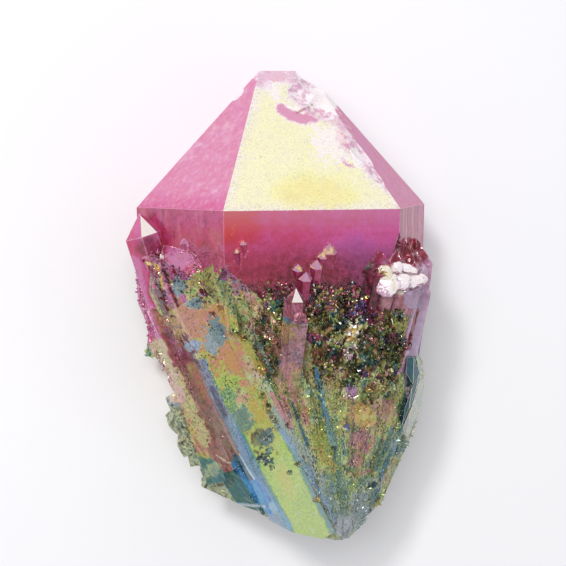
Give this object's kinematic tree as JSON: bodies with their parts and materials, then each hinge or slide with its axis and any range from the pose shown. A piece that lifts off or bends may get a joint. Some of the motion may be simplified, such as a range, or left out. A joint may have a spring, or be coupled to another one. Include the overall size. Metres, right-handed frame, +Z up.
{
  "type": "lemurian quartz crystal",
  "caption": "Iridescent pink and gold coated quartz: a big hexagonal pointed crystal with a fan of small crystals over its lower half, lying on one side face.",
  "frame": {"origin": "middle of the outline in X and Y, on the flat side face that the big crystal lies on", "axes": "+Y along the big crystal from the broken root to its tip, +Z up out of the face it lies on, +X to the right when the tip points away"},
  "size_m": [0.036, 0.0536, 0.0267],
  "materials": {
    "aura_quartz": "quartz with a thin shiny metal film that shifts from pink through gold and green to blue"
  },
  "bodies": {
    "root": {"quartz_cluster": "aura_quartz"}
  },
  "joints": []
}
